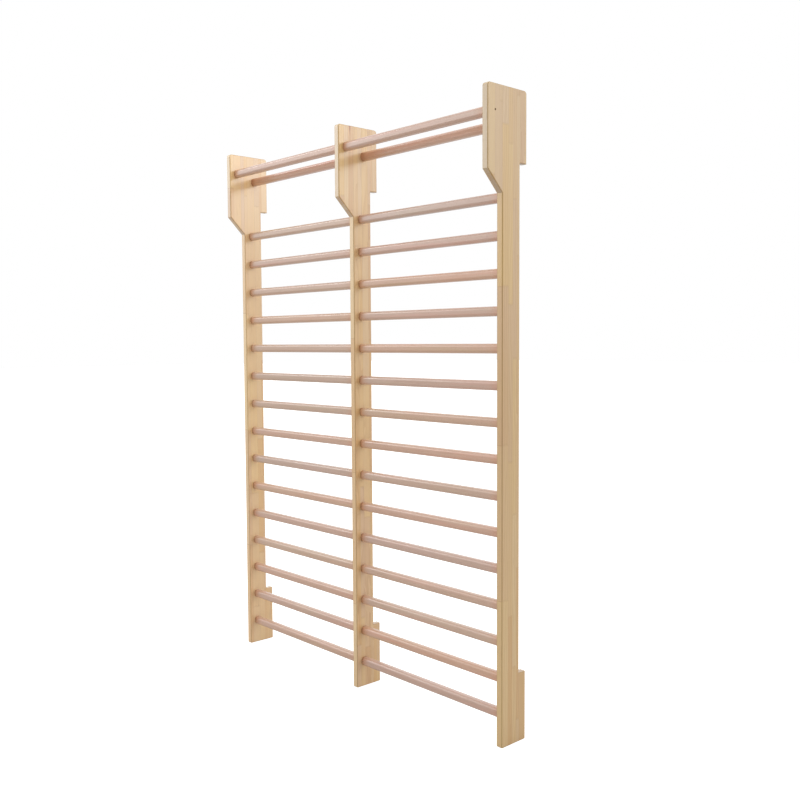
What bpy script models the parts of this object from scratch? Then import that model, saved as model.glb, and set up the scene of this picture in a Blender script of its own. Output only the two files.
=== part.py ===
"""Double wall bars (Swedish ladder): three pine uprights with glued-on head blocks and wall pads,
and two bays of beech rungs. The frame stands on the floor at Z = 0 and its pads' backs touch the
wall, which is the plane Y = +TOTAL_DEPTH / 2. The front, where people climb, faces -Y, and X = 0
is the middle upright's centre plane."""

import math

import bmesh
import bpy

# Driving dimensions, in metres.
HEIGHT = 2.600
BAY = 0.8963  # from one upright's centre plane to the next
THICKNESS = 0.030  # of every board, along X
BOARD_DEPTH = 0.103  # of an upright, front to back
HEAD_REACH = 0.084  # how far a head block stands in front of its upright
HEAD_FACE = 0.3225  # height of a head block's vertical front face, above its 45 degree slope
PAD_DEPTH = 0.040  # how far the pads hold the uprights off the wall
PAD_HEIGHT = 0.283
TOP_RADIUS = 0.013  # of the outline's corners at the top
FOOT_RADIUS = 0.005  # of the outline's corners at the floor
EASE = 0.003  # chamfer along the boards' long open edges

RUNG_HEIGHT = 0.0395
RUNG_DEPTH = 0.036
RUNG_CORNER = 0.0135  # rounding of a rung's section
SHOULDER = 0.003  # chamfer round each end of a rung's body
TENON_RADIUS = 0.014  # of the round ends that are glued into the boards
CORNER_POINTS = 5  # in each quarter of a rung's outline
REGULAR_RUNGS = 15
RUNG_PITCH = 0.1473
LOWEST_RUNG = 0.1212  # height of its centre line
RUNG_SETBACK = 0.0444  # from the uprights' front faces to the rungs' centre lines
FRONT_TOP_SETBACK = 0.0420  # the same, from the head blocks' front faces
FRONT_TOP_HEIGHT = 2.5014
REAR_TOP_SETBACK = 0.0623
REAR_TOP_HEIGHT = 2.4691

SOCKET_DEPTH = 0.020  # of the blind sockets in the two outer uprights
GAP = 0.0003  # between pieces that are glued or rest on each other
OVERSHOOT = 0.002  # how far a cutter runs past the face that it opens

SCREW_LENGTH = 0.050
SCREW_HEAD_RADIUS = 0.004
SCREW_SHANK_RADIUS = 0.002
SCREW_SINK = 0.0006  # the head's top below the block's face
SCREW_STEPS = 16

TOTAL_DEPTH = HEAD_REACH + BOARD_DEPTH + PAD_DEPTH
HEAD_FRONT = -TOTAL_DEPTH / 2
BOARD_FRONT = HEAD_FRONT + HEAD_REACH
BOARD_BACK = BOARD_FRONT + BOARD_DEPTH
WALL = TOTAL_DEPTH / 2
HEAD_BOTTOM = HEIGHT - HEAD_FACE - HEAD_REACH

SIDES = {"left": -1, "middle": 0, "right": 1}
PINE = (0.76, 0.60, 0.38)
PINE_END = (0.70, 0.53, 0.33)
BEECH = (0.66, 0.43, 0.30)
ZINC = (0.30, 0.24, 0.14)
TINY = 1e-5


def clear_scene():
    for obj in list(bpy.data.objects):
        bpy.data.objects.remove(obj, do_unlink=True)


def new_collection(name):
    collection = bpy.data.collections.new(name)
    bpy.context.scene.collection.children.link(collection)
    return collection


def new_material(name, color, roughness, metallic=0.0):
    material = bpy.data.materials.new(name)
    material.use_nodes = True
    shader = material.node_tree.nodes["Principled BSDF"]
    shader.inputs["Base Color"].default_value = (*color, 1.0)
    shader.inputs["Roughness"].default_value = roughness
    shader.inputs["Metallic"].default_value = metallic
    return material


def new_mesh(name, bm, material=None):
    """The bmesh as a named mesh, round faces smooth and edges sharp."""
    mesh = bpy.data.meshes.new(name)
    bm.to_mesh(mesh)
    bm.free()
    mesh.shade_smooth()
    mesh.set_sharp_from_angle(angle=math.radians(30))
    if material:
        mesh.materials.append(material)
    return mesh


def link_object(name, mesh, collection):
    obj = bpy.data.objects.new(name, mesh)
    collection.objects.link(obj)
    return obj


def new_object(name, bm, collection, material=None):
    return link_object(name, new_mesh(name, bm, material), collection)


def make_cutter(obj):
    obj.hide_render = True
    obj.display_type = "WIRE"


def cut(obj, cutter):
    modifier = obj.modifiers.new(cutter.name, "BOOLEAN")
    modifier.operation = "DIFFERENCE"
    modifier.solver = "EXACT"
    modifier.object = cutter


def box(bm, low, high):
    made = bmesh.ops.create_cube(bm, size=1.0)["verts"]
    for vert in made:
        for i in range(3):
            vert.co[i] = low[i] if vert.co[i] < 0 else high[i]


def slice_at(bm, height):
    geometry = bm.verts[:] + bm.edges[:] + bm.faces[:]
    bmesh.ops.bisect_plane(bm, geom=geometry, plane_co=(0, 0, height), plane_no=(0, 0, 1))


def is_at(value, target):
    return abs(value - target) < TINY


def long_edges(bm, depth, low, high):
    """The upright edges at this Y that lie between two heights."""
    found = []
    for edge in bm.edges:
        zs = sorted(vert.co.z for vert in edge.verts)
        stands = all(is_at(vert.co.y, depth) for vert in edge.verts) and zs[1] - zs[0] > TINY
        if stands and zs[0] > low - TINY and zs[1] < high + TINY:
            found.append(edge)
    return found


def corner_edges(bm, depth, height):
    """The edge across the board's thickness at this corner of its outline."""
    return [e for e in bm.edges if all(is_at(v.co.y, depth) and is_at(v.co.z, height) for v in e.verts)]


def round_edges(bm, edges, radius, segments):
    bmesh.ops.bevel(
        bm, geom=edges, offset=radius, segments=segments, profile=0.5, affect="EDGES", clamp_overlap=True
    )


def outline(half_depth, half_height, corner):
    """A bar's section as (Y, Z) points: a rectangle with rounded corners, or a circle where the
    corners take up all of it."""
    points = []
    for quarter in range(4):
        away = 1 if quarter in (0, 3) else -1
        up = 1 if quarter in (0, 1) else -1
        for i in range(CORNER_POINTS):
            if is_at(corner, half_depth):
                share = (i + 0.5) / CORNER_POINTS
            else:
                share = i / (CORNER_POINTS - 1)
            turn = (quarter + share) * math.pi / 2
            y = away * (half_depth - corner) + corner * math.cos(turn)
            z = up * (half_height - corner) + corner * math.sin(turn)
            points.append((y, z))
    return points


def bar(bm, sections, depth=0.0, height=0.0):
    """A closed bar along X through sections of (x, half depth, half height, corner radius)."""
    rings = []
    for x, *size in sections:
        rings.append([bm.verts.new((x, depth + y, height + z)) for y, z in outline(*size)])
    for ring, following in zip(rings, rings[1:]):
        for i, vert in enumerate(ring):
            bm.faces.new((ring[i - 1], vert, following[i], following[i - 1]))
    bm.faces.new(reversed(rings[0]))
    bm.faces.new(rings[-1])


def regular_rungs():
    """Depth and height of the fifteen climbing rungs' centre lines, lowest first."""
    depth = BOARD_FRONT + RUNG_SETBACK
    return [(depth, LOWEST_RUNG + i * RUNG_PITCH) for i in range(REGULAR_RUNGS)]


def rear_top_rung():
    return BOARD_FRONT + REAR_TOP_SETBACK, REAR_TOP_HEIGHT


def front_top_rung():
    return HEAD_FRONT + FRONT_TOP_SETBACK, FRONT_TOP_HEIGHT


def socket_span(side):
    """Where a socket starts and ends along X: blind in an outer board, right through the middle one."""
    x = side * BAY
    if side == 0:
        return x - THICKNESS / 2 - OVERSHOOT, x + THICKNESS / 2 + OVERSHOOT
    inner = x - side * THICKNESS / 2
    return tuple(sorted((inner - side * OVERSHOOT, inner + side * SOCKET_DEPTH)))


def sockets(name, side, places, cutters):
    """One cutter that opens the socket of every rung in a board."""
    radius = TENON_RADIUS + GAP
    bm = bmesh.new()
    for depth, height in places:
        bar(bm, [(x, radius, radius, radius) for x in socket_span(side)], depth, height)
    cutter = new_object(name, bm, cutters)
    make_cutter(cutter)
    return cutter


def make_upright(word, side, parts, cutters, material):
    """The full-height board, chamfered only where no block or pad covers its edges."""
    x = side * BAY
    bm = bmesh.new()
    box(bm, (x - THICKNESS / 2, BOARD_FRONT, 0), (x + THICKNESS / 2, BOARD_BACK, HEIGHT))
    for height in (PAD_HEIGHT, HEAD_BOTTOM, HEIGHT - PAD_HEIGHT):
        slice_at(bm, height)
    round_edges(bm, corner_edges(bm, BOARD_FRONT, 0), FOOT_RADIUS, 3)
    open_edges = long_edges(bm, BOARD_FRONT, 0, HEAD_BOTTOM)
    open_edges += long_edges(bm, BOARD_BACK, PAD_HEIGHT, HEIGHT - PAD_HEIGHT)
    round_edges(bm, open_edges, EASE, 1)
    upright = new_object(f"{word}_upright", bm, parts, material)
    places = regular_rungs() + [rear_top_rung()]
    cut(upright, sockets(f"{word}_upright_sockets", side, places, cutters))


def make_head_block(word, side, parts, cutters, material):
    """The block that carries the front top rung: square at the top, cut back at 45 degrees below."""
    x = side * BAY
    back = BOARD_FRONT - GAP
    bm = bmesh.new()
    box(bm, (x - THICKNESS / 2, HEAD_FRONT, HEAD_BOTTOM), (x + THICKNESS / 2, back, HEIGHT))
    for vert in bm.verts:
        if is_at(vert.co.y, HEAD_FRONT) and is_at(vert.co.z, HEAD_BOTTOM):
            vert.co.z += HEAD_REACH
    round_edges(bm, corner_edges(bm, HEAD_FRONT, HEIGHT), TOP_RADIUS, 4)
    round_edges(bm, long_edges(bm, HEAD_FRONT, HEAD_BOTTOM, HEIGHT), EASE, 1)
    block = new_object(f"{word}_head_block", bm, parts, material)
    cut(block, sockets(f"{word}_head_socket", side, [front_top_rung()], cutters))
    return block


def make_pad(name, side, bottom, top, corner, radius, parts, material):
    """A wall pad, with its outline rounded where the top or the foot of the upright ends."""
    x = side * BAY
    bm = bmesh.new()
    box(bm, (x - THICKNESS / 2, BOARD_BACK + GAP, bottom), (x + THICKNESS / 2, WALL, top))
    round_edges(bm, corner_edges(bm, WALL, corner), radius, 4)
    round_edges(bm, long_edges(bm, WALL, bottom, top), EASE, 1)
    new_object(name, bm, parts, material)


def rung_sections():
    """A rung of the right-hand bay from its tenon in the middle board to the one in the outer board."""
    tenon = (TENON_RADIUS, TENON_RADIUS, TENON_RADIUS)
    body = (RUNG_DEPTH / 2, RUNG_HEIGHT / 2, RUNG_CORNER)
    eased = tuple(size - SHOULDER for size in body)
    inner = THICKNESS / 2 + GAP
    outer = BAY - THICKNESS / 2 - GAP
    return [
        (GAP / 2, *tenon),
        (inner, *tenon),
        (inner, *eased),
        (inner + SHOULDER, *body),
        (outer - SHOULDER, *body),
        (outer, *eased),
        (outer, *tenon),
        (outer + SOCKET_DEPTH, *tenon),
    ]


def make_rung_mesh(material):
    bm = bmesh.new()
    bar(bm, rung_sections())
    return new_mesh("rung", bm, material)


def make_rungs(bay, side, parts, mesh):
    """All of one bay's rungs. They are alike, so they share one mesh. Returns the front top rung."""
    names = [f"{bay}_bay_rung_{i + 1:02d}" for i in range(REGULAR_RUNGS)]
    names += [f"{bay}_bay_rear_top_rung", f"{bay}_bay_front_top_rung"]
    places = regular_rungs() + [rear_top_rung(), front_top_rung()]
    for name, (depth, height) in zip(names, places):
        rung = link_object(name, mesh, parts)
        rung.location = (0, depth, height)
        rung.rotation_euler = (0, 0, 0 if side > 0 else math.pi)
    return rung


def screw_shape(name, grow, above, collection, material=None):
    """A countersunk screw turned about Z, its head's top at Z = 0, or with grow the hole for it."""
    head = SCREW_HEAD_RADIUS + grow
    shank = SCREW_SHANK_RADIUS + grow
    rim = 0.0005 + grow
    neck = rim + head - shank
    tip = SCREW_LENGTH + grow
    profile = [
        (0, above),
        (head, above),
        (head, -rim),
        (shank, -neck),
        (shank, shank - tip),
        (0, -tip),
    ]
    mesh = bpy.data.meshes.new(name)
    edges = [(i, i + 1) for i in range(len(profile) - 1)]
    mesh.from_pydata([(radius, 0, height) for radius, height in profile], edges, [])
    if material:
        mesh.materials.append(material)
    obj = link_object(name, mesh, collection)
    turn = obj.modifiers.new("turn", "SCREW")
    turn.steps = SCREW_STEPS
    turn.render_steps = SCREW_STEPS
    turn.use_merge_vertices = True
    turn.merge_threshold = 0.0001
    turn.use_smooth_shade = True
    return obj


def place_screw(obj, side):
    """Its head looks out of the outer board and its shank runs along the front top rung's centre line."""
    depth, height = front_top_rung()
    obj.location = (side * (BAY + THICKNESS / 2 - SCREW_SINK), depth, height)
    obj.rotation_euler = (0, side * math.pi / 2, 0)


def make_screw(word, side, block, rung, parts, cutters, material):
    place_screw(screw_shape(f"{word}_rung_screw", 0, 0, parts, material), side)
    hole = screw_shape(f"{word}_screw_hole", GAP, SCREW_SINK + OVERSHOOT, cutters)
    place_screw(hole, side)
    make_cutter(hole)
    cut(block, hole)
    cut(rung, hole)


def main():
    clear_scene()
    parts = new_collection("wall_bars")
    cutters = new_collection("cutters")
    pine = new_material("pine", PINE, 0.45)
    pine_block = new_material("pine_block", PINE_END, 0.5)
    beech = new_material("beech", BEECH, 0.4)
    zinc = new_material("screw_steel", ZINC, 0.35, 0.9)
    blocks = {}
    for word, side in SIDES.items():
        make_upright(word, side, parts, cutters, pine)
        blocks[side] = make_head_block(word, side, parts, cutters, pine)
        top_low = HEIGHT - PAD_HEIGHT
        make_pad(f"{word}_top_pad", side, top_low, HEIGHT, HEIGHT, TOP_RADIUS, parts, pine_block)
        make_pad(f"{word}_bottom_pad", side, 0, PAD_HEIGHT, 0, FOOT_RADIUS, parts, pine_block)
    mesh = make_rung_mesh(beech)
    for bay in ("left", "right"):
        side = SIDES[bay]
        rung = make_rungs(bay, side, parts, mesh)
        make_screw(bay, side, blocks[side], rung, parts, cutters, zinc)


main()
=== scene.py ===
"""Double wall bars in pine and beech: boards, rungs and screws in full detail on the CAD frame."""

import math
import random

import bmesh
import bpy
from mathutils import Matrix, Vector


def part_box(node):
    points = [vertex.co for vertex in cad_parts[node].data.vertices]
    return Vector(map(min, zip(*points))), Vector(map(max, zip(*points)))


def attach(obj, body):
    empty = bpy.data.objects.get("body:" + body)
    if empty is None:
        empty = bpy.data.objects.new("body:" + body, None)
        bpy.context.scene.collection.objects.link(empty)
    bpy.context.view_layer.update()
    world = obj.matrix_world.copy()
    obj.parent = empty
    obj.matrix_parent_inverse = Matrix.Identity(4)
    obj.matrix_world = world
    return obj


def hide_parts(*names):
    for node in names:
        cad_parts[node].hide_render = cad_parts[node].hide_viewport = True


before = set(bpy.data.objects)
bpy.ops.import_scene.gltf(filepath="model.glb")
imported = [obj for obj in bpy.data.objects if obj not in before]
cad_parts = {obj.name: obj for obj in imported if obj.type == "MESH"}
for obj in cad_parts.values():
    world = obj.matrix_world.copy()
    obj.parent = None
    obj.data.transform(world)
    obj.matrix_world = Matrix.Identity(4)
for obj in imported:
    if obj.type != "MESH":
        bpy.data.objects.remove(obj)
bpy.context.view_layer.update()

SIDES = ("left", "middle", "right")
BAYS = ("left", "right")
REGULAR_RUNGS = 15
SEED = 41
BOARD_TONES = {"left": 0.92, "middle": 0.58, "right": 0.02}  # from 0, the darkest, to 1

# Boards. All lengths are in metres.
EDGE_RADIUS = 0.004
EDGE_STEPS = 5
TOP_RADIUS = 0.013
FOOT_RADIUS = 0.005
SLOPE_RADIUS = 0.003
CORNER_STEPS = 8
HEAD_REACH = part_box("left_upright")[0].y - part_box("left_head_block")[0].y
TENON_RADIUS = 0.014
SOCKET_DEPTH = 0.020
CLEARANCE = 0.0003
OVERSHOOT = CLEARANCE * 10  # how far a cutter stands out of the face it cuts into
REAL_EDGE = 0.5  # radians between two faces with a real edge between them, which gets rounded
SMOOTH_ABOVE = math.cos(math.radians(35))  # faces turned less than this are shaded as one
TINY = 1e-5

# A board's materials in their order, and how a face's unit normal tells which it takes.
FACE, END_GRAIN, EASED_EDGE, FRONT = range(4)
SIDE_ABOVE = 0.97
EDGE_BELOW = 0.1
END_ABOVE = 0.5
FRONT_ABOVE = 0.9

# Rungs.
RUNG_CORNER = 0.0135
RUNG_CORNER_STEPS = 12
SHOULDER_RADIUS = 0.003
SHOULDER_STEPS = 4
SOCKET_SIDES = 48

# Screws.
SCREW_HEAD_RADIUS = 0.004
SCREW_SHANK_RADIUS = 0.002
SCREW_STEPS = 40
SCREW_PROFILE = (  # radius and depth of each bend, from the head down, in head radii
    (0.0, 0.0), (0.80, 0.0), (0.97, 0.03), (1.0, 0.10), (0.50, 0.62), (0.50, 8.0), (0.0, 12.5),
)
RECESS_LENGTH = 0.0046
RECESS_WIDTH = 0.0011
RECESS_DEPTH = 0.0018
RECESS_TURN = 0.35  # radians

# Camera, as a photographer would note it: place, heading, tilt, roll and lens.
CAMERA_PLACE = (3.2873, -2.7496, 1.6196)
CAMERA_HEADING = 47.475
CAMERA_TILT = -3.553
CAMERA_ROLL = -0.325
CAMERA_LENS = 41.549
CAMERA_SENSOR = 36.0


# ---------------------------------------------------------------- the frame's nodes

def middle_of(node):
    low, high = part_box(node)
    return (low + high) / 2


def regular_rungs(bay):
    return [f"{bay}_bay_rung_{i + 1:02d}" for i in range(REGULAR_RUNGS)]


def bay_beside(side):
    """A bay whose rungs end in this board."""
    return "left" if side == "left" else "right"


def outward(side):
    """Which way along X an outer board looks away from the bays."""
    return 1 if side == "right" else -1


# ---------------------------------------------------------------- meshes

def box(bm, low, high):
    for vert in bmesh.ops.create_cube(bm, size=1.0)["verts"]:
        for i in range(3):
            vert.co[i] = low[i] if vert.co[i] < 0 else high[i]


def is_at(value, target):
    return abs(value - target) < TINY


def slice_at(bm, height):
    geometry = bm.verts[:] + bm.edges[:] + bm.faces[:]
    bmesh.ops.bisect_plane(bm, geom=geometry, plane_co=(0, 0, height), plane_no=(0, 0, 1))


def arc(before, corner, after, radius):
    """The points that round a corner between two straight lines."""
    corner = Vector(corner)
    back, ahead = (Vector(before) - corner).normalized(), (Vector(after) - corner).normalized()
    half = back.angle(ahead) / 2
    centre = corner + (back + ahead).normalized() * (radius / math.sin(half))
    start = corner + back * (radius / math.tan(half)) - centre
    turn = back.angle_signed(ahead)
    sweep = math.copysign(math.pi - 2 * half, turn)
    return [
        tuple(centre + Matrix.Rotation(sweep * i / CORNER_STEPS, 2) @ start)
        for i in range(CORNER_STEPS + 1)
    ]


def outline(corners):
    """The (Y, Z) points of a closed outline whose corners are (y, z, radius)."""
    points = []
    for i, (y, z, radius) in enumerate(corners):
        before, after = corners[i - 1][:2], corners[(i + 1) % len(corners)][:2]
        points += arc(before, (y, z), after, radius) if radius else [(y, z)]
    return points


def prism(bm, points, low, high):
    """The outline as a solid from one X to another."""
    sides = [[bm.verts.new((x, *point)) for point in points] for x in (low, high)]
    for i in range(len(points)):
        bm.faces.new((sides[0][i - 1], sides[1][i - 1], sides[1][i], sides[0][i]))
    bm.faces.new(sides[0])
    bm.faces.new(reversed(sides[1]))
    bmesh.ops.recalc_face_normals(bm, faces=bm.faces)


def round_outline(bm, low, high, seams):
    """Rounds the board's edges all along its outline, except where a seam (y, lowest z, highest z)
    joins it to another board."""
    def in_seam(edge):
        for y, bottom, top in seams:
            if all(is_at(v.co.y, y) and bottom - TINY < v.co.z < top + TINY for v in edge.verts):
                return True
        return False

    edges = []
    for edge in bm.edges:
        if any(all(is_at(v.co.x, x) for v in edge.verts) for x in (low, high)):
            if edge.calc_face_angle() > REAL_EDGE and not in_seam(edge):
                edges.append(edge)
    bmesh.ops.bevel(
        bm, geom=edges, offset=EDGE_RADIUS, segments=EDGE_STEPS, profile=0.5, affect="EDGES",
    )


def cylinder(bm, start, end, y, z, radius, end_radius=None):
    """A closed cylinder or cone along X."""
    made = bmesh.ops.create_cone(
        bm, cap_ends=True, segments=SOCKET_SIDES, radius1=radius,
        radius2=radius if end_radius is None else end_radius, depth=end - start,
    )["verts"]
    turn = Matrix.Rotation(math.pi / 2, 4, "Y")
    place = Matrix.Translation(((start + end) / 2, y, z))
    bmesh.ops.transform(bm, matrix=place @ turn, verts=made)


def object_from(bm, name):
    mesh = bpy.data.meshes.new(name)
    bm.to_mesh(mesh)
    bm.free()
    obj = bpy.data.objects.new(name, mesh)
    bpy.context.scene.collection.objects.link(obj)
    return obj


def cut(obj, cutter):
    """The object less the cutter, which is used up."""
    modifier = obj.modifiers.new("cut", "BOOLEAN")
    modifier.operation = "DIFFERENCE"
    modifier.solver = "EXACT"
    modifier.object = cutter
    graph = bpy.context.evaluated_depsgraph_get()
    mesh = bpy.data.meshes.new_from_object(obj.evaluated_get(graph))
    obj.modifiers.clear()
    obj.data = mesh
    bpy.data.objects.remove(cutter)


def write_grain(obj, fibre, seed, tone=None, streak=None):
    """Stores where each point lies in its own plank, fibres along Z, the plank's own tone, and how
    far each point is from the top of its resin streak, if it has one."""
    draw = random.Random(seed)
    shift = Vector([draw.uniform(-GRAIN_SHIFT, GRAIN_SHIFT) for _ in range(3)])
    mesh = obj.data
    grain = []
    for vert in mesh.vertices:
        x, y, z = vert.co
        grain.extend(Vector((x, y, z) if fibre == "Z" else (y, z, x)) + shift)
    mesh.attributes.new("grain", "FLOAT_VECTOR", "POINT").data.foreach_set("vector", grain)
    shades = [draw.random() if tone is None else tone] * len(mesh.vertices)
    mesh.attributes.new("tone", "FLOAT", "POINT").data.foreach_set("value", shades)
    if streak:
        offsets = []
        for vert in mesh.vertices:
            offsets.extend((1.0, vert.co.y - streak[0], vert.co.z - streak[1]))
        mesh.attributes.new("streak", "FLOAT_VECTOR", "POINT").data.foreach_set("vector", offsets)


def smooth(mesh):
    """Smooth shading that leaves flat faces flat: each corner takes the mean, weighted by area, of
    the faces round it that look nearly the same way as its own."""
    around = [[] for _ in mesh.vertices]
    for face in mesh.polygons:
        for index in face.vertices:
            around[index].append(face)
    normals = []
    for face in mesh.polygons:
        for index in face.vertices:
            normal = Vector()
            for other in around[index]:
                if face.normal.dot(other.normal) > SMOOTH_ABOVE:
                    normal += other.normal * other.area
            normals.append(normal.normalized())
    mesh.shade_smooth()
    mesh.normals_split_custom_set(normals)


def finish_piece(obj, slot, *nodes):
    smooth(obj.data)
    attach(obj, "root")
    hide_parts(*nodes)
    return obj


# ---------------------------------------------------------------- node helpers

class Shader:
    """A material under construction: short calls that add a node and return its output."""

    def __init__(self, name):
        self.material = bpy.data.materials.new(name)
        self.material.use_nodes = True
        self.tree = self.material.node_tree
        self.principled = self.tree.nodes["Principled BSDF"]

    def node(self, kind, inputs=(), **settings):
        made = self.tree.nodes.new(kind)
        for key, value in settings.items():
            setattr(made, key, value)
        for key, value in dict(inputs).items():
            self.feed(made.inputs[key], value)
        return made

    def feed(self, socket, value):
        if isinstance(value, bpy.types.NodeSocket):
            self.tree.links.new(value, socket)
        else:
            socket.default_value = value

    def math(self, operation, a, b=0.0, c=0.0):
        return self.node("ShaderNodeMath", {0: a, 1: b, 2: c}, operation=operation).outputs[0]

    def vector(self, x, y, z):
        return self.node("ShaderNodeCombineXYZ", {0: x, 1: y, 2: z}).outputs[0]

    def noise(self, vector, scale=1.0, detail=2.0, roughness=0.5):
        inputs = {"Vector": vector, "Scale": scale, "Detail": detail, "Roughness": roughness}
        return self.node("ShaderNodeTexNoise", inputs).outputs[0]

    def random(self, vector):
        made = self.node("ShaderNodeTexWhiteNoise", {"Vector": vector}, noise_dimensions="3D")
        return made.outputs["Value"], made.outputs["Color"]

    def ramp(self, value, low, high):
        """0 at low, 1 at high, eased between and level beyond; low may be the greater."""
        inputs = {"Value": value, "From Min": low, "From Max": high}
        made = self.node("ShaderNodeMapRange", inputs, interpolation_type="SMOOTHSTEP")
        return made.outputs["Result"]

    def spread(self, value, low, high):
        inputs = {"Value": value, "To Min": low, "To Max": high}
        return self.node("ShaderNodeMapRange", inputs).outputs["Result"]

    def mix(self, share, a, b):
        made = self.node("ShaderNodeMix", data_type="RGBA")
        self.feed(made.inputs[0], share)
        self.feed(made.inputs[6], a)
        self.feed(made.inputs[7], b)
        return made.outputs[2]

    def tint(self, color, hue, saturation, value):
        inputs = {"Hue": hue, "Saturation": saturation, "Value": value, "Color": color}
        return self.node("ShaderNodeHueSaturation", inputs).outputs[0]

    def bump(self, height, distance, strength):
        inputs = {"Height": height, "Distance": distance, "Strength": strength}
        self.feed(self.principled.inputs["Normal"], self.node("ShaderNodeBump", inputs).outputs[0])

    def set(self, **values):
        for key, value in values.items():
            self.feed(self.principled.inputs[key.replace("_", " ")], value)


def rgb(red, green, blue):
    """An sRGB colour of 0 to 255 as the linear one that nodes take."""
    def linear(channel):
        share = channel / 255
        return share / 12.92 if share <= 0.04045 else ((share + 0.055) / 1.055) ** 2.4
    return (linear(red), linear(green), linear(blue), 1.0)


# ---------------------------------------------------------------- materials

GRAIN_SHIFT = 5  # pieces are cut from places up to this far apart in the same endless wood
STAVE = 0.031  # mean width of a stave in the edge-glued boards
STAVE_BEAT = 0.119  # over which the staves' widths vary
STAVE_SWELL = 0.007
SEGMENT = 0.62  # length of a stave between its finger joints
STAGGER = 7.0  # segments by which the joints of one stave may lie past another's
STREAK_SETBACK = 0.066  # of the middle head's resin streak, from the head's front face
STREAK_LENGTH = 0.055
STREAK_WIDTH = 0.010
STREAK_BLUR = 0.0012
STREAK_WOBBLE = 0.006
STREAK_FULL = 0.004  # above the block's top, so the streak is a little less than full width there
FINGER_PITCH = 0.0045
FINGER_DEPTH = 0.010
STAVE_LINE = 0.0006  # half the width of the dark line between two staves
FINGER_LINE = (0.0022, 0.0002)  # and of a finger joint's, from where it starts to where it is full
PITH_AWAY = (0.02, 0.09)  # least and most distance from a stave's own origin to its pith
PITH_ASIDE = (-0.05, 0.05)
RING_BEND = (9.0, 1.3)  # bends of the rings per metre, across the fibres and along them
RING_SHIFT = 40.0  # so that each stave's rings bend in their own way
LATE_WOOD = 2.5  # the higher, the narrower the dark part of each ring
PINE_RING = 0.0032
PINE_WANDER = 0.018
BEECH_RING = 0.0021
BEECH_WANDER = 0.010
END_SHADE_REACH = 0.018  # how far the painted shade at a rung's ends darkens it, where the boards shadow it
WARM_SHADE_REACH = 0.075  # and how far its orange part reaches: painted shade and painted reflection of the boards' wood
REACH_WOBBLE = 0.008
REAR_STRETCH = 3.0  # both parts of the painted shade reach this many times further on the rear top rungs

# Noise, in cells per metre across the fibres and along them.
PINE_FIBRE = (420.0, 5.0)
PINE_CLOUD = (26.0, 2.2)
PINE_FLECK = (260.0, 9.0)
BEECH_FIBRE = (520.0, 9.0)
BEECH_CLOUD = (34.0, 3.5)
BEECH_FLECK = (900.0, 190.0)
BEECH_FLAME = (48.0, 2.0)


def growth_rings(shader, x, y, z, ring, scatter, wander):
    """0 in the pale early wood, rising to 1 in the dark late wood of each ring round a wandering
    pith."""
    red, green, blue = shader.node("ShaderNodeSeparateColor", {0: scatter}).outputs[:]
    pith_x = shader.math("ADD", x, shader.spread(red, *PITH_AWAY))
    pith_y = shader.math("ADD", y, shader.spread(green, *PITH_ASIDE))
    shift = shader.spread(blue, 0.0, RING_SHIFT)
    bend_across, bend_along = RING_BEND
    bend_at = shader.vector(
        shader.math("MULTIPLY", x, bend_across), shader.math("MULTIPLY", y, bend_across),
        shader.math("MULTIPLY_ADD", z, bend_along, shift),
    )
    bend = shader.math("MULTIPLY_ADD", shader.noise(bend_at, detail=3.0), wander, -wander / 2)
    squares = shader.math(
        "ADD", shader.math("POWER", pith_x, 2.0), shader.math("POWER", pith_y, 2.0),
    )
    radius = shader.math("ADD", shader.math("SQRT", squares), bend)
    phase = shader.math("FRACT", shader.math("DIVIDE", radius, ring))
    return shader.math("POWER", phase, LATE_WOOD)


def stretched(shader, x, y, z, across, along):
    return shader.vector(
        shader.math("MULTIPLY", x, across), shader.math("MULTIPLY", y, across),
        shader.math("MULTIPLY", z, along),
    )


def grain_axes(shader):
    grain = shader.node("ShaderNodeAttribute", attribute_name="grain").outputs["Vector"]
    return shader.node("ShaderNodeSeparateXYZ", {0: grain}).outputs[:]


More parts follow.
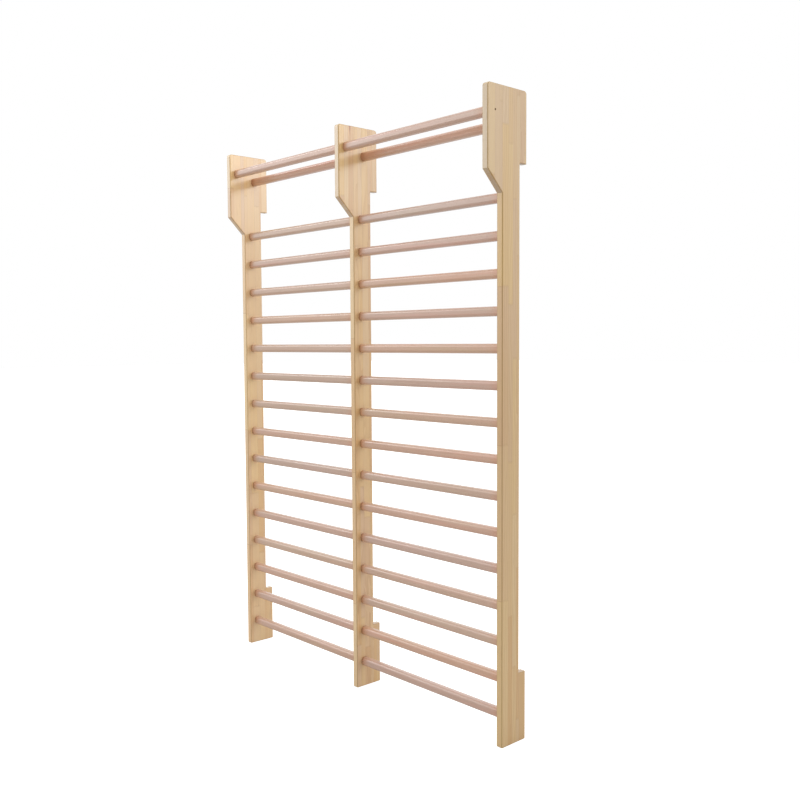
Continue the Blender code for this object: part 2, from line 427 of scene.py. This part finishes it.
def pine(name, value=1.0, saturation=1.0, ring_share=0.42):
    """Edge-glued, finger-jointed pine under satin varnish."""
    s = Shader(name)
    x, y, z = grain_axes(s)
    swell = s.math("SINE", s.math("MULTIPLY", y, 2 * math.pi / STAVE_BEAT))
    across = s.math("DIVIDE", s.math("MULTIPLY_ADD", swell, STAVE_SWELL, y), STAVE)
    stave = s.math("FLOOR", across)
    # The whole numbers beside stave and segment only keep one draw apart from another.
    stave_draw, _ = s.random(s.vector(stave, 3.0, 7.0))
    finger = s.math("PINGPONG", y, FINGER_PITCH / 2)
    finger = s.math("MULTIPLY", finger, 2 * FINGER_DEPTH / FINGER_PITCH)
    along = s.math("DIVIDE", s.math("ADD", z, finger), SEGMENT)
    along = s.math("MULTIPLY_ADD", stave_draw, STAGGER, along)
    segment = s.math("FLOOR", along)
    draw, scatter = s.random(s.vector(stave, segment, 11.0))
    other, _ = s.random(s.vector(segment, stave, 23.0))

    rings = growth_rings(s, x, y, z, PINE_RING, scatter, PINE_WANDER)
    fibre = s.noise(stretched(s, x, y, z, *PINE_FIBRE), detail=4.0, roughness=0.6)
    cloud = s.noise(stretched(s, x, y, z, *PINE_CLOUD), detail=3.0)
    fleck = s.ramp(s.noise(stretched(s, x, y, z, *PINE_FLECK), detail=1.0), 0.70, 0.80)

    color = s.mix(s.math("MULTIPLY", rings, ring_share), rgb(235, 196, 138), rgb(208, 157, 97))
    color = s.mix(s.math("MULTIPLY", s.ramp(fibre, 0.45, 0.75), 0.20), color, rgb(201, 157, 102))
    color = s.mix(s.math("MULTIPLY", s.ramp(cloud, 0.40, 0.70), 0.25), color, rgb(225, 181, 137))
    color = s.mix(s.math("MULTIPLY", fleck, 0.30), color, rgb(159, 102, 55))
    tone = s.node("ShaderNodeAttribute", attribute_name="tone").outputs["Fac"]
    value = s.math("MULTIPLY", s.spread(tone, 0.85, 1.14), value)
    saturation = s.math("MULTIPLY", s.spread(tone, 1.03, 0.93), saturation)
    color = s.tint(color, s.spread(draw, 0.494, 0.506),
                   s.math("MULTIPLY", s.spread(other, 0.89, 1.03), saturation),
                   s.math("MULTIPLY", s.spread(draw, 0.94, 1.04), value))

    streak = s.node("ShaderNodeAttribute", attribute_name="streak").outputs["Vector"]
    marked, aside, above = s.node("ShaderNodeSeparateXYZ", {0: streak}).outputs[:]
    reach = s.ramp(above, -STREAK_LENGTH, STREAK_FULL)
    wobble = s.math("MULTIPLY_ADD", fibre, STREAK_WOBBLE, -STREAK_WOBBLE / 2)
    aside = s.math("ABSOLUTE", s.math("ADD", aside, wobble))
    inside = s.math("SUBTRACT", s.math("MULTIPLY", reach, STREAK_WIDTH / 2), aside)
    inside = s.math("MULTIPLY", s.ramp(inside, -STREAK_BLUR, STREAK_BLUR), marked)
    color = s.mix(s.math("MULTIPLY", inside, 0.75), color, rgb(172, 104, 70))

    border = s.math("ABSOLUTE", s.math("SUBTRACT", s.math("FRACT", across), 0.5))
    stave_line = s.ramp(border, 0.5 - STAVE_LINE / STAVE, 0.5)
    border = s.math("ABSOLUTE", s.math("SUBTRACT", s.math("FRACT", along), 0.5))
    line_start, line_full = [0.5 - half / SEGMENT for half in FINGER_LINE]
    finger_line = s.ramp(border, line_start, line_full)
    lines = s.math(
        "MAXIMUM", s.math("MULTIPLY", stave_line, 0.35), s.math("MULTIPLY", finger_line, 0.45),
    )
    color = s.mix(lines, color, rgb(174, 127, 79))

    rough = s.math("MULTIPLY_ADD", fibre, 0.14, 0.36)
    height = s.math("ADD", s.math("MULTIPLY", rings, 0.6), s.math("MULTIPLY", fibre, 0.5))
    height = s.math("SUBTRACT", height, lines)
    s.bump(height, distance=0.00018, strength=0.5)
    s.set(Base_Color=color, Roughness=rough, Coat_Weight=1.0, Coat_Roughness=0.22)
    return s.material


def beech(name):
    """Steamed beech, pinkish, with its short dark ray flecks, under satin varnish."""
    s = Shader(name)
    x, y, z = grain_axes(s)
    tone = s.node("ShaderNodeAttribute", attribute_name="tone").outputs["Fac"]
    draw, scatter = s.random(s.vector(tone, 5.0, 9.0))
    rings = growth_rings(s, x, y, z, BEECH_RING, scatter, BEECH_WANDER)
    fibre = s.noise(stretched(s, x, y, z, *BEECH_FIBRE), detail=4.0, roughness=0.6)
    cloud = s.noise(stretched(s, x, y, z, *BEECH_CLOUD), detail=3.0)
    fleck = s.ramp(s.noise(stretched(s, x, y, z, *BEECH_FLECK), detail=0.0), 0.66, 0.76)

    color = s.mix(s.math("MULTIPLY", rings, 0.30), rgb(210, 174, 152), rgb(180, 138, 113))
    color = s.mix(s.math("MULTIPLY", s.ramp(fibre, 0.40, 0.75), 0.22), color, rgb(175, 133, 107))
    color = s.mix(s.math("MULTIPLY", s.ramp(cloud, 0.38, 0.68), 0.35), color, rgb(217, 182, 164))
    color = s.mix(s.math("MULTIPLY", fleck, 0.35), color, rgb(140, 94, 65))
    flame = s.noise(stretched(s, x, y, z, *BEECH_FLAME), detail=2.0)
    color = s.mix(s.math("MULTIPLY", s.ramp(flame, 0.52, 0.72), 0.45), color, rgb(220, 167, 146))
    color = s.mix(s.math("MULTIPLY", s.ramp(flame, 0.46, 0.28), 0.40), color, rgb(201, 175, 144))
    color = s.tint(color, s.spread(draw, 0.494, 0.508), s.spread(tone, 0.90, 1.12),
                   s.spread(tone, 0.94, 1.04))
    # Painted shade at each rung's ends, where the boards shadow it: dark next to the board, orange
    # further along as a painted reflection of the boards' wood.
    reach = s.node("ShaderNodeAttribute", attribute_name="reach").outputs["Fac"]
    wobble = s.math("MULTIPLY_ADD", cloud, REACH_WOBBLE, -REACH_WOBBLE / 2)
    reach = s.math("ADD", reach, wobble)
    warm_shade = s.math("MULTIPLY", s.ramp(reach, WARM_SHADE_REACH, 0.0), 0.40)
    color = s.mix(warm_shade, color, rgb(206, 141, 92))
    end_shade = s.math("MULTIPLY", s.ramp(reach, END_SHADE_REACH, 0.0), 0.60)
    color = s.mix(end_shade, color, rgb(160, 94, 48))
    rough = s.math("MULTIPLY_ADD", fibre, 0.12, 0.34)
    height = s.math("ADD", s.math("MULTIPLY", rings, 0.3), s.math("MULTIPLY", fibre, 0.6))
    height = s.math("SUBTRACT", height, s.math("MULTIPLY", fleck, 0.8))
    s.bump(height, distance=0.00012, strength=0.5)
    s.set(Base_Color=color, Roughness=rough, Coat_Weight=1.0, Coat_Roughness=0.20)
    return s.material


def dulled_zinc():
    s = Shader("dulled_zinc")
    place = s.node("ShaderNodeTexCoord").outputs["Object"]
    patch = s.noise(place, scale=900.0, detail=4.0)
    color = s.mix(s.ramp(patch, 0.35, 0.70), rgb(126, 104, 66), rgb(74, 60, 42))
    s.set(Base_Color=color, Metallic=0.85, Roughness=s.math("MULTIPLY_ADD", patch, 0.25, 0.30))
    s.bump(patch, distance=0.00004, strength=0.4)
    return s.material


def pale_floor():
    """Pale matt floor. It glows to the eye only: its shadows look faint, and the glow lights
    nothing."""
    s = Shader("pale_floor")
    place = s.node("ShaderNodeTexCoord").outputs["Object"]
    mottle = s.noise(place, scale=3.0, detail=3.0)
    color = s.mix(mottle, (0.60, 0.60, 0.59, 1.0), (0.64, 0.64, 0.63, 1.0))
    seen = s.node("ShaderNodeLightPath").outputs["Is Camera Ray"]
    s.set(Base_Color=color, Roughness=0.8, Emission_Color=(1.0, 1.0, 1.0, 1.0))
    s.set(Emission_Strength=s.math("MULTIPLY", seen, FLOOR_GLOW))
    return s.material


# ---------------------------------------------------------------- pieces

def paint_board(obj, materials):
    """Face, end grain, eased edge with painted shade, and perhaps front with painted sheen, told
    apart by which way each face looks.
    """
    for material in materials:
        obj.data.materials.append(material)
    for face in obj.data.polygons:
        if EDGE_BELOW < abs(face.normal.x) < SIDE_ABOVE:
            face.material_index = EASED_EDGE
        elif abs(face.normal.z) > END_ABOVE:
            face.material_index = END_GRAIN
        elif len(materials) > FRONT and face.normal.y < -FRONT_ABOVE:
            face.material_index = FRONT
        else:
            face.material_index = FACE


def socket_span(low, high, side):
    """Where a board's sockets start and end along X: right through the middle board, blind in the
    outer ones."""
    if side == "middle":
        return low.x - OVERSHOOT, high.x + OVERSHOOT
    if side == "left":
        return high.x - SOCKET_DEPTH, high.x + OVERSHOOT
    return low.x - OVERSHOOT, low.x + SOCKET_DEPTH


def cut_sockets(obj, side, low, high, rungs):
    start, end = socket_span(low, high, side)
    bm = bmesh.new()
    for node in rungs:
        middle = middle_of(node)
        cylinder(bm, start, end, middle.y, middle.z, TENON_RADIUS + CLEARANCE)
    cut(obj, object_from(bm, "sockets"))


def cut_countersink(obj, side, low, high):
    """Room for the screw's head, and the short straight mouth above it."""
    screw_low, screw_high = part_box(f"{side}_rung_screw")
    middle = middle_of(f"{side}_rung_screw")
    out = outward(side)
    top = screw_high.x if out > 0 else screw_low.x
    neck = top - out * SCREW_HEAD_RADIUS
    wide, narrow = SCREW_HEAD_RADIUS + CLEARANCE, SCREW_SHANK_RADIUS + CLEARANCE
    (start, radius), (end, end_radius) = sorted(((neck, narrow), (top, wide)))
    bm = bmesh.new()
    cylinder(bm, start, end, middle.y, middle.z, radius, end_radius)
    cut(obj, object_from(bm, "countersink"))
    lip = top - out * TINY
    mouth = (high.x if out > 0 else low.x) + out * OVERSHOOT
    bm = bmesh.new()
    cylinder(bm, min(lip, mouth), max(lip, mouth), middle.y, middle.z, wide)
    cut(obj, object_from(bm, "countersink_mouth"))


def make_upright(side, materials, seed):
    node = f"{side}_upright"
    low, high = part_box(node)
    head_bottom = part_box(f"{side}_head_block")[0].z
    pad_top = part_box(f"{side}_bottom_pad")[1].z
    pad_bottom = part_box(f"{side}_top_pad")[0].z
    bm = bmesh.new()
    corners = [
        (low.y, high.z, 0), (low.y, low.z, FOOT_RADIUS), (high.y, low.z, 0), (high.y, high.z, 0),
    ]
    prism(bm, outline(corners), low.x, high.x)
    for height in (pad_top, head_bottom, pad_bottom):
        slice_at(bm, height)
    seams = [(low.y, head_bottom, high.z), (high.y, low.z, pad_top), (high.y, pad_bottom, high.z)]
    round_outline(bm, low.x, high.x, seams)
    obj = object_from(bm, f"{side}_board")
    bay = bay_beside(side)
    cut_sockets(obj, side, low, high, regular_rungs(bay) + [f"{bay}_bay_rear_top_rung"])
    paint_board(obj, materials)
    write_grain(obj, "Z", seed, BOARD_TONES[side])
    return finish_piece(obj, "pine", node)


def make_head_block(side, materials, seed):
    node = f"{side}_head_block"
    low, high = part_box(node)
    streak = (low.y + STREAK_SETBACK, high.z) if side == "middle" else None
    bm = bmesh.new()
    corners = [
        (low.y, high.z, TOP_RADIUS),
        (low.y, low.z + HEAD_REACH, SLOPE_RADIUS),
        (high.y, low.z, 0),
        (high.y, high.z, 0),
    ]
    prism(bm, outline(corners), low.x, high.x)
    round_outline(bm, low.x, high.x, [(high.y, low.z, high.z)])
    obj = object_from(bm, f"{side}_head")
    cut_sockets(obj, side, low, high, [f"{bay_beside(side)}_bay_front_top_rung"])
    if side != "middle":
        cut_countersink(obj, side, low, high)
    paint_board(obj, materials)
    write_grain(obj, "Z", seed, BOARD_TONES[side], streak)
    return finish_piece(obj, "pine", node)


def make_pad(side, level, materials, seed):
    node = f"{side}_{level}_pad"
    low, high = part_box(node)
    top_radius, foot_radius = (TOP_RADIUS, 0) if level == "top" else (0, FOOT_RADIUS)
    bm = bmesh.new()
    corners = [
        (low.y, high.z, 0),
        (low.y, low.z, 0),
        (high.y, low.z, foot_radius),
        (high.y, high.z, top_radius),
    ]
    prism(bm, outline(corners), low.x, high.x)
    round_outline(bm, low.x, high.x, [(low.y, low.z, high.z)])
    obj = object_from(bm, f"{side}_{level}_wall_pad")
    paint_board(obj, materials)
    write_grain(obj, "Z", seed, BOARD_TONES[side])
    return finish_piece(obj, "pine", node)


def rung_ring(half_depth, half_height, corner):
    """A rung's section as (Y, Z) points: a rectangle with rounded corners, or a circle."""
    points = []
    for quarter in range(4):
        away = 1 if quarter in (0, 3) else -1
        up = 1 if quarter in (0, 1) else -1
        for i in range(RUNG_CORNER_STEPS):
            if corner < half_depth:
                share = i / (RUNG_CORNER_STEPS - 1)
            else:
                share = (i + 0.5) / RUNG_CORNER_STEPS
            turn = (quarter + share) * math.pi / 2
            points.append((away * (half_depth - corner) + corner * math.cos(turn),
                           up * (half_height - corner) + corner * math.sin(turn)))
    return points


def shoulder(at, inward, body):
    """Sections of a rung's rounded shoulder, from full size to the face that meets the board."""
    made = []
    for step in range(SHOULDER_STEPS + 1):
        angle = step / SHOULDER_STEPS * math.pi / 2
        inset = SHOULDER_RADIUS * (1 - math.cos(angle))
        x = at + inward * SHOULDER_RADIUS * (1 - math.sin(angle))
        made.append((x, *(size - inset for size in body)))
    return made


def make_rung(node, bay, material, seed):
    """A bar with a rounded oblong section, softly rounded shoulders and round tenons."""
    low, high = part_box(node)
    middle = middle_of(node)
    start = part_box("middle_upright")[1].x + CLEARANCE
    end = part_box("right_upright")[0].x - CLEARANCE
    tip = max(abs(low.x), abs(high.x))
    base = min(abs(low.x), abs(high.x))
    tenon = (TENON_RADIUS, TENON_RADIUS, TENON_RADIUS)
    body = ((high.y - low.y) / 2, (high.z - low.z) / 2, RUNG_CORNER)
    sections = [(base, *tenon), (start, *tenon)]
    sections += reversed(shoulder(start, 1, body))
    sections.append(((start + end) / 2, *body))
    sections += shoulder(end, -1, body)
    sections += [(end, *tenon), (tip, *tenon)]
    sign = 1 if bay == "right" else -1
    bm = bmesh.new()
    rings = []
    for x, *size in sections:
        points = rung_ring(*size)
        rings.append([
            bm.verts.new((sign * x, middle.y + sign * y, middle.z + z)) for y, z in points
        ])
    for one, two in zip(rings, rings[1:]):
        for i in range(len(one)):
            bm.faces.new((one[i - 1], one[i], two[i], two[i - 1]))
    bm.faces.new(reversed(rings[0]))
    bm.faces.new(rings[-1])
    bmesh.ops.recalc_face_normals(bm, faces=bm.faces)
    obj = object_from(bm, node.replace("_bay_", "_") + "_bar")
    obj.data.materials.append(material)
    write_grain(obj, "X", seed)
    # Each point's distance from the rung's nearer end, for the painted shade there.
    stretch = REAR_STRETCH if "rear" in node else 1.0
    reach = []
    for vert in obj.data.vertices:
        reach.append(min(abs(vert.co.x) - start, end - abs(vert.co.x)) / stretch)
    obj.data.attributes.new("reach", "FLOAT", "POINT").data.foreach_set("value", reach)
    return finish_piece(obj, "beech", node)


def make_screw(side, material):
    """A countersunk screw with a cross recess, its head sunk just below the block's face."""
    node = f"{side}_rung_screw"
    low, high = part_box(node)
    middle = middle_of(node)
    out = outward(side)
    top = high.x if out > 0 else low.x
    length = high.x - low.x
    bm = bmesh.new()
    verts = []
    for wide, deep in SCREW_PROFILE:
        x = top - out * min(deep * SCREW_HEAD_RADIUS, length)
        verts.append(bm.verts.new((x, middle.y, middle.z + wide * SCREW_HEAD_RADIUS)))
    for one, two in zip(verts, verts[1:]):
        bm.edges.new((one, two))
    bmesh.ops.spin(
        bm, geom=bm.verts[:] + bm.edges[:], angle=2 * math.pi, steps=SCREW_STEPS,
        axis=(1, 0, 0), cent=(0, middle.y, middle.z), use_merge=True,
    )
    bmesh.ops.remove_doubles(bm, verts=bm.verts, dist=1e-6)
    bmesh.ops.recalc_face_normals(bm, faces=bm.faces)
    obj = object_from(bm, f"{side}_screw")
    # Known fault: on the left these cuts leave only a sliver of the screw. The cause isn't known.
    place = Matrix.Translation((top, middle.y, middle.z))
    corner = Vector((RECESS_DEPTH, RECESS_LENGTH / 2, RECESS_WIDTH / 2))
    for turn in (0, math.pi / 2):
        bm = bmesh.new()
        box(bm, -corner, corner)
        spin = Matrix.Rotation(turn + RECESS_TURN, 4, "X")
        bmesh.ops.transform(bm, matrix=place @ spin, verts=bm.verts)
        cut(obj, object_from(bm, "recess"))
    obj.data.materials.clear()
    obj.data.materials.append(material)
    return finish_piece(obj, "screw_steel", node)


# ---------------------------------------------------------------- stage

# Name, place, what it is aimed at, width, height, power, and the power that only gloss mirrors.
LIGHTS = (
    ("left_front", (-9.2, -7.7, 4.9), (0.0, 0.0, 2.2), 6.2, 3.0, 42, 150),
    ("left_high", (-10.2, -6.4, 7.4), (0.0, 0.0, 2.2), 3.0, 2.2, 0, 112),
    ("right_back", (10.2, 6.4, 5.4), (0.0, 0.0, 2.4), 3.0, 3.2, 95, 105),
    ("top", (0.4, -0.6, 6.0), (0.0, 0.0, 1.5), 3.0, 3.0, 40, 0),
)
AMBIENT = 1.08
AMBIENT_NEAR = 0.54  # at its weakest, straight from the photographer's side
PHOTOGRAPHER = (0.766, -0.643, 0.0)  # the level way to where the photographer stood
FLOOR_GLOW = 0.8
FLOOR_SIZE = 60.0


def area_light(name, place, target, width, height, power, sheen_only=False):
    light = bpy.data.lights.new(name, "AREA")
    light.shape = "RECTANGLE"
    light.size = width
    light.size_y = height
    light.energy = power
    obj = bpy.data.objects.new(name, light)
    obj.location = place
    obj.rotation_mode = "QUATERNION"
    obj.rotation_quaternion = (Vector(target) - Vector(place)).to_track_quat("-Z", "Y")
    obj.visible_diffuse = not sheen_only
    bpy.context.scene.collection.objects.link(obj)


def studio_world():
    """White to look at. As a light it is weaker, and weakest on the photographer's side."""
    world = bpy.data.worlds.new("studio")
    world.use_nodes = True
    tree = world.node_tree
    background = tree.nodes["Background"]
    background.inputs["Color"].default_value = (1.0, 1.0, 1.0, 1.0)
    aim = tree.nodes.new("ShaderNodeTexCoord").outputs["Generated"]
    towards = tree.nodes.new("ShaderNodeVectorMath")
    towards.operation = "DOT_PRODUCT"
    towards.inputs[1].default_value = PHOTOGRAPHER
    tree.links.new(aim, towards.inputs[0])
    light = tree.nodes.new("ShaderNodeMapRange")
    light.interpolation_type = "SMOOTHSTEP"
    light.inputs["To Min"].default_value = AMBIENT
    light.inputs["To Max"].default_value = AMBIENT_NEAR
    tree.links.new(towards.outputs["Value"], light.inputs["Value"])
    seen = tree.nodes.new("ShaderNodeLightPath").outputs["Is Camera Ray"]
    strength = tree.nodes.new("ShaderNodeMapRange")
    strength.inputs["To Max"].default_value = 1.0
    tree.links.new(seen, strength.inputs["Value"])
    tree.links.new(light.outputs["Result"], strength.inputs["To Min"])
    tree.links.new(strength.outputs["Result"], background.inputs["Strength"])
    bpy.context.scene.world = world


def make_stage():
    bm = bmesh.new()
    bmesh.ops.create_grid(bm, x_segments=8, y_segments=8, size=FLOOR_SIZE)
    floor = object_from(bm, "floor")
    floor.data.materials.append(pale_floor())
    studio_world()
    for name, place, target, width, height, power, sheen in LIGHTS:
        if power:
            area_light(name, place, target, width, height, power)
        if sheen:
            area_light(name + "_sheen", place, target, width, height, sheen, sheen_only=True)
    bpy.context.scene.view_settings.view_transform = "Standard"


def make_camera():
    camera = bpy.data.cameras.new("camera")
    camera.lens = CAMERA_LENS
    camera.sensor_width = CAMERA_SENSOR
    obj = bpy.data.objects.new("camera", camera)
    turn = Matrix.Rotation(math.radians(CAMERA_HEADING), 4, "Z")
    tilt = Matrix.Rotation(math.radians(90 + CAMERA_TILT), 4, "X")
    roll = Matrix.Rotation(math.radians(CAMERA_ROLL), 4, "Z")
    obj.matrix_world = Matrix.Translation(CAMERA_PLACE) @ turn @ tilt @ roll
    bpy.context.scene.collection.objects.link(obj)
    bpy.context.scene.camera = obj


def main():
    make_camera()
    make_stage()
    boards = [
        pine("pine"),
        pine("pine_end_grain", value=0.80, saturation=0.85, ring_share=0.7),
        # The eased edges take a darker copy of the pine: painted shade, for edges that face away
        # from the main lamps.
        pine("pine_eased_edge_shade", value=0.74, saturation=1.1),
    ]
    # A greyer, darker copy of the pine for the head blocks' front faces, toned to how the light
    # falls on them: painted sheen.
    head_front = pine("pine_head_front", value=0.90, saturation=0.78)
    rod = beech("beech")
    seed = SEED
    for side in SIDES:
        make_upright(side, boards, seed)
        make_head_block(side, boards + [head_front], seed + 1)
        make_pad(side, "top", boards, seed + 2)
        make_pad(side, "bottom", boards, seed + 3)
        seed += 4
    for bay in BAYS:
        top_rungs = [f"{bay}_bay_rear_top_rung", f"{bay}_bay_front_top_rung"]
        for node in regular_rungs(bay) + top_rungs:
            make_rung(node, bay, rod, seed)
            seed += 1
    zinc = dulled_zinc()
    for side in BAYS:
        make_screw(side, zinc)


main()
